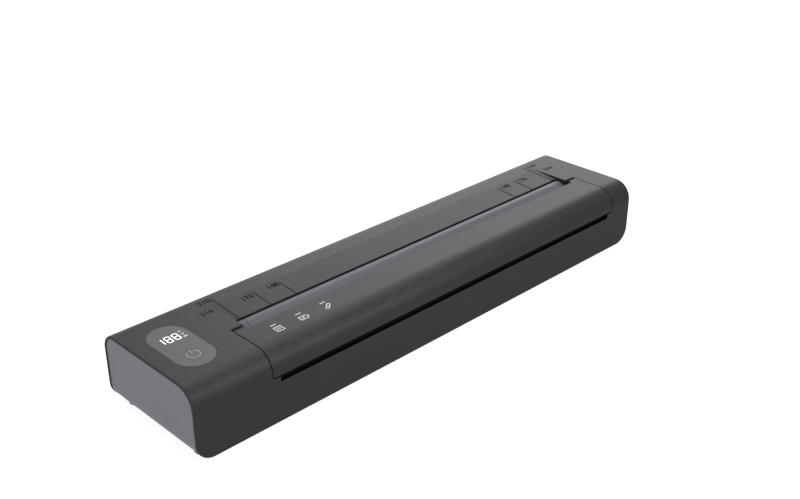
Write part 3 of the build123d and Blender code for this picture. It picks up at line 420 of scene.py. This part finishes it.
def coil_spring(centre_x, centre_y, low, high):
    """A round wire carried along a helix. The climb of each turn is one wire's width in the
    first and last four fifths of a turn and more than twice that between, so its ends are
    closed; the height is the running sum of the climb."""
    turn = np.linspace(0.0, spring_turns, int(spring_turns * steps_a_turn) + 1)
    climb = np.interp(turn, (closed_turn, open_turn, spring_turns - open_turn,
                             spring_turns - closed_turn), (closed_climb, 1.0, 1.0, closed_climb))
    risen = np.concatenate([[0.0], np.cumsum((climb[1:] + climb[:-1]) / 2.0)])
    height = low + spring_wire + (high - low - 2.0 * spring_wire) * risen / risen[-1]
    around = np.linspace(0.0, 2.0 * np.pi, wire_sides, endpoint=False)
    reach = spring_radius - spring_wire + spring_wire * np.cos(around)[None, :]
    angle = 2.0 * np.pi * turn[:, None]
    points = np.stack([centre_x + reach * np.cos(angle), centre_y + reach * np.sin(angle),
                       height[:, None] + spring_wire * np.sin(around)[None, :]], axis=-1)
    ring, side = np.meshgrid(np.arange(len(turn) - 1), np.arange(wire_sides), indexing="ij")
    beside = (side + 1) % wire_sides
    here, ahead = ring * wire_sides, (ring + 1) * wire_sides
    faces = np.stack([here + side, ahead + side, ahead + beside, here + beside], axis=-1)
    end_face = np.array([[0, 1, 2, 3], [0, 3, 4, 5], [0, 5, 6, 7]])     # the eight-sided end
    last = (len(turn) - 1) * wire_sides
    return points.reshape(-1, 3), np.vstack([faces.reshape(-1, 4), end_face,
                                             end_face[:, ::-1] + last])


spring_reach = (spring_high[0] - spring_low[0]) / 2.0 - spring_radius
springs = one_piece("head_coil_springs",
                    [coil_spring(paper_x + share * spring_reach, spring_y, spring_low[2],
                                 spring_high[2])
                     for share in (-1.0, -inner_share, inner_share, 1.0)], steel, "lid")
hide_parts("head_springs")
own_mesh(springs)


# ---- Circuit boards: glass-fibre boards under green solder resist. Copper tracks show
# through it as paler lines, and the bare pads are plated gold.
def circuit_board(name, resist, over_copper, pad):
    """Green resist: straight-sided cells of two sizes give tracks, and small round spots
    of a finer pattern give pads, which are metal."""
    material, tree, shader, place = new_material(name)
    tracks = tree.nodes.new("ShaderNodeTexVoronoi")
    tracks.feature = "DISTANCE_TO_EDGE"
    tracks.inputs["Scale"].default_value = 260.0
    cells = tree.nodes.new("ShaderNodeTexVoronoi")
    cells.distance = "CHEBYCHEV"
    cells.inputs["Scale"].default_value = 520.0
    spots = tree.nodes.new("ShaderNodeTexVoronoi")
    spots.inputs["Scale"].default_value = 330.0
    for texture in (tracks, cells, spots):
        tree.links.new(place.outputs["Object"], texture.inputs["Vector"])
    on_track = spread(tree, tracks.outputs["Distance"], 1.0, 0.0, start=0.05, end=0.08)
    on_cell = spread(tree, cells.outputs["Distance"], 0.0, 0.6, start=0.3, end=0.34)
    on_pad = spread(tree, spots.outputs["Distance"], 1.0, 0.0, start=0.14, end=0.17)
    under = blend_colours(tree, on_cell, resist, over_copper)
    lined = blend_colours(tree, on_track, under, over_copper)
    tree.links.new(blend_colours(tree, on_pad, lined, pad), shader.inputs["Base Color"])
    tree.links.new(on_pad, shader.inputs["Metallic"])
    tree.links.new(spread(tree, on_pad, 0.3, 0.22), shader.inputs["Roughness"])
    bump(tree, shader, on_track, mm(0.03), strength=0.4)
    return material


finish_node(circuit_board("green_circuit_board", resist=linear(18, 72, 46),
                          over_copper=linear(34, 104, 66), pad=linear(214, 178, 104)),
            "display_board", "main_board", "io_board", "indicator_board")


# ---- Battery cells: two steel cans in a blue shrink sleeve; the bare ends are nickel
# plated. They lie in the cradle at the rear of the tray.
def wrapped_cell(name, sleeve_dark, sleeve_pale, bare, sleeve_from, sleeve_to):
    """Blue sleeve between two places along X, and bare metal beyond them."""
    material, tree, shader, place = new_material(name)
    sleeved = inside(tree, place, (sleeve_from, -endless, -endless),
                     (sleeve_to, endless, endless))
    sleeve = blend_colours(tree, noise(tree, place, scale=150.0), sleeve_dark, sleeve_pale)
    tree.links.new(blend_colours(tree, sleeved, bare, sleeve), shader.inputs["Base Color"])
    tree.links.new(spread(tree, sleeved, 1.0, 0.0), shader.inputs["Metallic"])
    roughen(tree, shader, noise(tree, place, scale=400.0), 0.31, wander=0.05)
    bump(tree, shader, noise(tree, place, scale=220.0), mm(0.04), strength=0.3)
    return material


cells_low, cells_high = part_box("battery_cells")
bare_end = mm(0.5)
finish_node(wrapped_cell("blue_cell_sleeve", linear(34, 78, 142), linear(44, 92, 160),
                         bare=linear(200, 201, 203), sleeve_from=cells_low[0] + bare_end,
                         sleeve_to=cells_high[0] - bare_end), "battery_cells")


# ---- Display: a sealed black block of lamps, cast in epoxy. It stands on its own small
# board, close under the panel.
finish_node(moulded("display_block", linear(14, 14, 16), linear(20, 20, 22), rough=0.2,
                    grain=6000.0), "display_module")


# ---- Size marks on the feed deck: thin dark ink lines where the edges of the common sheet
# sizes run, each pair with its sheet's width in millimetres beside it. The deck's own ends
# are the widest sheet's marks.
top_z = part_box("upper_case")[1][2]
deck_front = mm(33.6)               # the deck's front edge, behind the front face
deck_edge = mm(0.5)                 # the front edge is taken to start this much sooner
deck_back = mm(49.0)                # the deck starts to fall here
deck_fall = mm(1.05)
deck_half = (guide_high[0] - guide_low[0]) / 2.0 + mm(0.7)
ink_proud = mm(0.02)
ink_sunk = mm(0.05)
ink_relief = mm(0.004)
sharpest_turn = 0.4                 # the least cosine of half a turn that a bar is mitred to
number_high = mm(2.95)
number_share = 0.7                  # a numeral's height, of the size of its typeface
number_bold = mm(0.12)              # how far a printed numeral's outline is let out


def top_height(x, y):
    """The height of the case's top at plan points: level, except on the feed deck, where it
    falls in a straight line to the deck's front edge."""
    deep = y - front_y
    share = np.clip((deck_back - deep) / (deck_back - deck_front), 0.0, 1.0)
    on_deck = (np.abs(x - paper_x) < deck_half) & (deep > deck_front - deck_edge)
    return top_z - np.where(on_deck, share * deck_fall, 0.0)


def ribbon(path, width, closed=False):
    """A bar of film along a plan path. A rectangle is carried along the path: at each point
    its sides lie half the width to either hand, along the mean of the two runs' normals,
    lengthened by one over the cosine of half the turn. Gives its vertices and its faces."""
    path = np.asarray(path, dtype=float)
    width = np.broadcast_to(np.asarray(width, dtype=float), len(path))
    runs = np.roll(path, -1, axis=0) - path
    before = np.roll(runs, 1, axis=0)
    if not closed:
        runs[-1] = before[-1]
        before[0] = runs[0]
    runs = runs / np.linalg.norm(runs, axis=1, keepdims=True)
    before = before / np.linalg.norm(before, axis=1, keepdims=True)
    mean = runs + before
    mean = mean / np.linalg.norm(mean, axis=1, keepdims=True)
    reach = width / 2.0 / np.clip(np.sum(mean * runs, axis=1), sharpest_turn, 1.0)
    aside = np.stack([-mean[:, 1], mean[:, 0]], axis=1) * reach[:, None]
    left, right = path + aside, path - aside
    heights = top_height(path[:, 0], path[:, 1])
    rows = [np.column_stack([side, heights + lift])
            for side, lift in ((left, ink_proud), (right, ink_proud),
                               (right, -ink_sunk), (left, -ink_sunk))]
    points = np.stack(rows, axis=1).reshape(-1, 3)
    count = len(path)
    here = np.arange(count if closed else count - 1) * 4
    ahead = (here + 4) % (count * 4)
    faces = np.concatenate([np.column_stack([here + corner, here + beside, ahead + beside,
                                             ahead + corner])
                            for corner, beside in ((0, 1), (1, 2), (2, 3), (3, 0))])
    if not closed:
        last = (count - 1) * 4
        faces = np.vstack([faces, [3, 2, 1, 0], [last, last + 1, last + 2, last + 3]])
    return points, faces


def printed_number(name, text, centre_x, centre_y, high, material, body):
    """A number in a plain typeface as a closed film: the outline is turned into a mesh,
    moved to its place, laid on the case's top and given its thickness."""
    curve = bpy.data.curves.new(name, "FONT")
    curve.body = text
    curve.align_x = "CENTER"
    curve.align_y = "CENTER"
    curve.size = high / number_share
    curve.offset = number_bold
    curve.resolution_u = 3
    holder = bpy.data.objects.new(name, curve)
    mesh = bpy.data.meshes.new_from_object(holder)
    bpy.data.objects.remove(holder)
    mesh.name = name
    work = bmesh.new()
    work.from_mesh(mesh)
    bmesh.ops.remove_doubles(work, verts=work.verts, dist=mm(0.002))
    work.to_mesh(mesh)
    work.free()
    points = np.empty(len(mesh.vertices) * 3)
    mesh.vertices.foreach_get("co", points)
    points = points.reshape(-1, 3)
    points[:, 0] += centre_x
    points[:, 1] += centre_y
    points[:, 2] = top_height(points[:, 0], points[:, 1]) + ink_proud
    mesh.vertices.foreach_set("co", points.ravel())
    mesh.materials.clear()
    mesh.materials.append(material)
    piece = bpy.data.objects.new(name, mesh)
    bpy.context.scene.collection.objects.link(piece)
    thickness = piece.modifiers.new("ink_thickness", "SOLIDIFY")
    thickness.thickness = ink_proud + ink_sunk
    thickness.offset = -1.0
    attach(piece, body)
    return piece


dark_ink = moulded("dark_pad_ink", linear(26, 26, 26), linear(34, 34, 34), rough=0.85,
                   gloss=0.02, grain=3000.0, grain_depth=ink_relief)

line_points = 60
line_start = deck_front + mm(0.05)
hands = (("left", -1, mm(0.54)), ("right", 1, mm(0.74)))    # side, and the lines' width there

# each sheet's half width, how far behind the front face its line ends, and the centre of its
# number at the left and at the right: how far right of the line, and behind the front face
sheet_marks = (("210", 105.0, 54.0, ((-4.0, 53.4), (5.2, 52.3))),
               ("176", 88.0, 46.5, ((-4.6, 44.4), (4.7, 44.3))),
               ("148", 74.0, 45.9, ((-4.1, 44.9), (5.0, 44.6))))
mark_lines = []
for width, half, line_end, numbers in sheet_marks:
    for (hand, side, line_wide), (aside, deep) in zip(hands, numbers):
        line_x = paper_x + side * mm(half)
        line_y = front_y + np.linspace(line_start, mm(line_end), line_points)
        mark_lines.append(ribbon(np.column_stack([np.full(line_points, line_x), line_y]),
                                 line_wide))
        printed_number(f"sheet_number_{width}_{hand}", width, line_x + mm(aside),
                       front_y + mm(deep), number_high, dark_ink, "base")
one_piece("sheet_mark_lines", mark_lines, dark_ink, "base")
for hand, number_x, number_deep in (("left", -101.8, 45.3), ("right", 125.8, 44.2)):
    printed_number(f"sheet_number_216_{hand}", "216", mm(number_x), front_y + mm(number_deep),
                   number_high, dark_ink, "base")


# ---- Figures in the display: three numerals of seven lit bars each, and three small state
# symbols beside them, which shine through the panel.
def shining_film(name, dark, pale, rough, glow):
    """A white film with light behind it: faint clouds in its colour, and an even glow."""
    material, tree, shader, place = new_material(name)
    tree.links.new(blend_colours(tree, noise(tree, place, scale=2500.0), dark, pale),
                   shader.inputs["Base Color"])
    shader.inputs["Roughness"].default_value = rough
    shader.inputs["Emission Color"].default_value = (1.0, 1.0, 1.0, 1.0)
    shader.inputs["Emission Strength"].default_value = glow
    return material


lit_white = shining_film("lit_white_figures", linear(236, 238, 240), linear(248, 249, 250),
                         rough=0.4, glow=0.7)
bar_wide = mm(0.46)
bar_gap = mm(0.09)
bar_point = 0.15                    # the width of a bar's ends, of its width between them
figure_wide = mm(2.25)              # between the middles of a figure's upright bars
figure_high = mm(2.35)              # between the middles of two of its level bars
figure_low_y = front_y + mm(35.95)
bar_places = {"top": ((0, 2), (1, 2)), "middle": ((0, 1), (1, 1)), "bottom": ((0, 0), (1, 0)),
              "upper_left": ((0, 1), (0, 2)), "upper_right": ((1, 1), (1, 2)),
              "lower_left": ((0, 0), (0, 1)), "lower_right": ((1, 0), (1, 1))}
figure_one = ("upper_right", "lower_right")
figure_eight = tuple(bar_places)


def lit_bar(start, end):
    """A bar between two corners of a figure, drawn in by a gap and pointed at both ends."""
    start, end = np.array(start), np.array(end)
    along = (end - start) / np.linalg.norm(end - start)
    start, end = start + along * bar_gap, end - along * bar_gap
    taper = along * bar_wide / 2.0
    widths = np.array([bar_point, 1.0, 1.0, bar_point]) * bar_wide
    return ribbon([start, start + taper, end - taper, end], widths)


figures = []
for left_x, places in ((-130.65, figure_one), (-126.85, figure_eight), (-123.15, figure_eight)):
    for place_name in places:
        corners = [(mm(left_x) + across * figure_wide, figure_low_y + up * figure_high)
                   for across, up in bar_places[place_name]]
        figures.append(lit_bar(*corners))
one_piece("display_figures", figures, lit_white, "base")

dim_white = shining_film("dim_white_symbols", linear(176, 177, 178), linear(190, 191, 192),
                         rough=0.45, glow=0.0)


def circle_path(centre_x, centre_y, radius, start=0.0, end=360.0, count=40):
    """Plan points on an arc, anticlockwise from start to end in degrees from +X."""
    closed = end - start >= 360.0
    angles = np.radians(np.linspace(start, end, count, endpoint=not closed))
    return np.column_stack([centre_x + radius * np.cos(angles),
                            centre_y + radius * np.sin(angles)])


def path_about(centre_x, centre_y, *offsets):
    """Plan points at offsets in millimetres from a centre."""
    return np.array(offsets) / 1000.0 + (centre_x, centre_y)


symbol_x = mm(-118.9)
ring_y, hook_y, block_y = (front_y + mm(deep) for deep in (40.9, 37.9, 36.2))
symbols = [ribbon(circle_path(symbol_x, ring_y, mm(0.5), count=24), mm(0.28), closed=True),
           ribbon(path_about(symbol_x, hook_y, (-0.75, 1.0), (0, 0), (0.75, 1.0)), mm(0.4)),
           ribbon(path_about(symbol_x, block_y, (-0.85, 0), (0.85, 0)), mm(0.9))]
one_piece("display_symbols", symbols, dim_white, "base")


# ---- Power sign: a broken ring with an upright bar in the gap, printed on the power key in
# a slightly paler grey, so that it travels with the key.
key_low, key_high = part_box("power_key")
key_x = (key_low[0] + key_high[0]) / 2.0
key_y = (key_low[1] + key_high[1]) / 2.0
sign_radius = mm(2.75)
sign_wide = mm(0.5)
sign_ink = moulded("power_sign_ink", linear(112, 112, 113), linear(118, 118, 119), rough=0.4,
                   gloss=0.3, grain=5000.0, grain_depth=ink_relief)
one_piece("power_sign",
          [ribbon(circle_path(key_x, key_y, sign_radius, 125.0, 415.0, count=72), sign_wide),
           ribbon(path_about(key_x, key_y, (0, 0.6), (0, 3.6)), sign_wide)],
          sign_ink, "power_key")


# ---- Lid icons: a sheet, a battery and two chain links, printed in pale ink in front of
# the three light bars, which they name.
def pill_path(centre_x, centre_y, straight, radius, turn):
    """The outline of a link: two half rounds joined by straight sides, turned in degrees."""
    half = np.radians(np.linspace(-90, 90, 13))
    right = np.column_stack([straight / 2.0 + radius * np.cos(half), radius * np.sin(half)])
    outline = np.vstack([right, -right])
    c, s = math.cos(math.radians(turn)), math.sin(math.radians(turn))
    return outline @ np.array([[c, s], [-s, c]]) + (centre_x, centre_y)


pale_ink = moulded("pale_pad_ink", linear(200, 201, 202), linear(210, 210, 211), rough=0.5,
                   gloss=0.2, grain=3000.0, grain_depth=ink_relief)
icon_wide, fine_wide = mm(0.38, 0.3)        # the outlines' bars and the bars inside them
icon_y = front_y + mm(13.95)
sheet_x, battery_x, links_x = mm(-88.1, -75.05, -61.4)
link_aside = mm(0.75)
icons = [ribbon(path_about(sheet_x, icon_y, (-1.75, -1.75), (1.75, -1.75), (1.75, 1.75),
                           (-1.75, 1.75)), icon_wide, closed=True),
         ribbon(path_about(sheet_x, icon_y, (-1.0, 0.75), (1.0, 0.75)), fine_wide),
         ribbon(path_about(sheet_x, icon_y, (-1.0, -0.75), (-0.35, 0.1), (0.2, -0.55),
                           (1.0, 0.15)), fine_wide),
         ribbon(path_about(battery_x, icon_y, (-1.9, -1.5), (1.5, -1.5), (2.6, -0.2),
                           (1.5, 1.1), (-1.9, 1.1)), icon_wide, closed=True),
         ribbon(path_about(battery_x, icon_y, (0.35, 0.5), (-0.6, -0.2), (0.4, -0.2),
                           (-0.55, -0.9)), fine_wide)]
for away in (-link_aside, link_aside):
    icons.append(ribbon(pill_path(links_x + away, icon_y + away, mm(0.9), mm(0.72), 45.0),
                        icon_wide, closed=True))
one_piece("lid_icons", icons, pale_ink, "lid")


# ---- Floor: a wide white sweep. It keeps the case's shadow and shows as white to the
# camera; far out, where the lamps hardly reach, its own light grows to full white.
def seen_directly(tree, kinds):
    """1 for the named kinds of ray and 0 for the others."""
    rays = tree.nodes.new("ShaderNodeLightPath")
    seen = rays.outputs[kinds[0]]
    for kind in kinds[1:]:
        seen = arithmetic(tree, "MAXIMUM", seen, rays.outputs[kind])
    return seen


floor_half = 4.0
near_white, full_white = 0.9, 1.0           # the strength under the case and far out
white_from, white_to = 0.3, 1.3             # how far out it starts to grow and ends
background_rays = ("Is Camera Ray", "Is Glossy Ray", "Is Transmission Ray")

floor_mesh = bpy.data.meshes.new("floor")
floor_mesh.from_pydata([(-floor_half, -floor_half, 0.0), (floor_half, -floor_half, 0.0),
                        (floor_half, floor_half, 0.0), (-floor_half, floor_half, 0.0)],
                       [], [(0, 1, 2, 3)])
floor = bpy.data.objects.new("floor", floor_mesh)
bpy.context.scene.collection.objects.link(floor)
floor_paint, tree, shader, place = new_material("white_floor")
tree.links.new(blend_colours(tree, noise(tree, place, scale=3.0), linear(138, 138, 139),
                             linear(142, 142, 143)), shader.inputs["Base Color"])
shader.inputs["Roughness"].default_value = 0.9
shader.inputs["Specular IOR Level"].default_value = 0.0
floor_mesh.materials.append(floor_paint)
far = tree.nodes.new("ShaderNodeVectorMath")
far.operation = "LENGTH"
tree.links.new(place.outputs["Object"], far.inputs[0])
whiteness = spread(tree, far.outputs["Value"], near_white, full_white, white_from, white_to)
glow = tree.nodes.new("ShaderNodeEmission")
tree.links.new(arithmetic(tree, "MULTIPLY", whiteness, seen_directly(tree, background_rays)),
               glow.inputs["Strength"])
both = tree.nodes.new("ShaderNodeAddShader")
output = [n for n in tree.nodes if n.type == "OUTPUT_MATERIAL"][0]
tree.links.new(shader.outputs["BSDF"], both.inputs[0])
tree.links.new(glow.outputs["Emission"], both.inputs[1])
tree.links.new(both.outputs["Shader"], output.inputs["Surface"])


# ---- Light: a white room, and soft lamps above, at the left, low at the right rear, where
# the case's top reflects them, and in front, where its rounded front edge does.
room_strength, seen_strength = 0.08, 1.0    # the room's light on the case, and as it is seen
world = bpy.data.worlds.new("studio")
bpy.context.scene.world = world
world.use_nodes = True
tree = world.node_tree
tree.nodes.clear()
output = tree.nodes.new("ShaderNodeOutputWorld")
sky = tree.nodes.new("ShaderNodeBackground")
sky.inputs["Color"].default_value = (1.0, 1.0, 1.0, 1.0)
tree.links.new(spread(tree, seen_directly(tree, background_rays), room_strength, seen_strength),
               sky.inputs["Strength"])
tree.links.new(sky.outputs["Background"], output.inputs["Surface"])


def softbox(name, place, target, width, height, power, beam=180.0):
    """A rectangular lamp at one point, turned to face another. A grid on its face keeps its
    light inside a beam of so many degrees."""
    lamp = bpy.data.lights.new(name, "AREA")
    lamp.shape = "RECTANGLE"
    lamp.size = width
    lamp.size_y = height
    lamp.energy = power
    lamp.spread = math.radians(beam)
    holder = bpy.data.objects.new(name, lamp)
    holder.location = place
    aim = Vector(target) - Vector(place)
    holder.rotation_euler = aim.to_track_quat("-Z", "Y").to_euler()
    bpy.context.scene.collection.objects.link(holder)


softbox("top_softbox", (0.15, 0.4, 1.1), (0.0, 0.0, 0.0), width=1.2, height=0.8, power=13.2)
softbox("left_softbox", (-1.15, -0.4, 0.3), (-0.12, 0.0, 0.02), width=0.6, height=0.6,
        power=8.0)
softbox("rear_softbox", (0.97, 0.75, 0.56), (0.1, 0.0, 0.03), width=1.0, height=0.6, power=7.0)
softbox("front_softbox", (0.2, -0.48, 0.34), (-0.14, -0.03, 0.03), width=0.3, height=0.4,
        power=0.52, beam=66.0)

bpy.context.scene.view_settings.view_transform = "Standard"
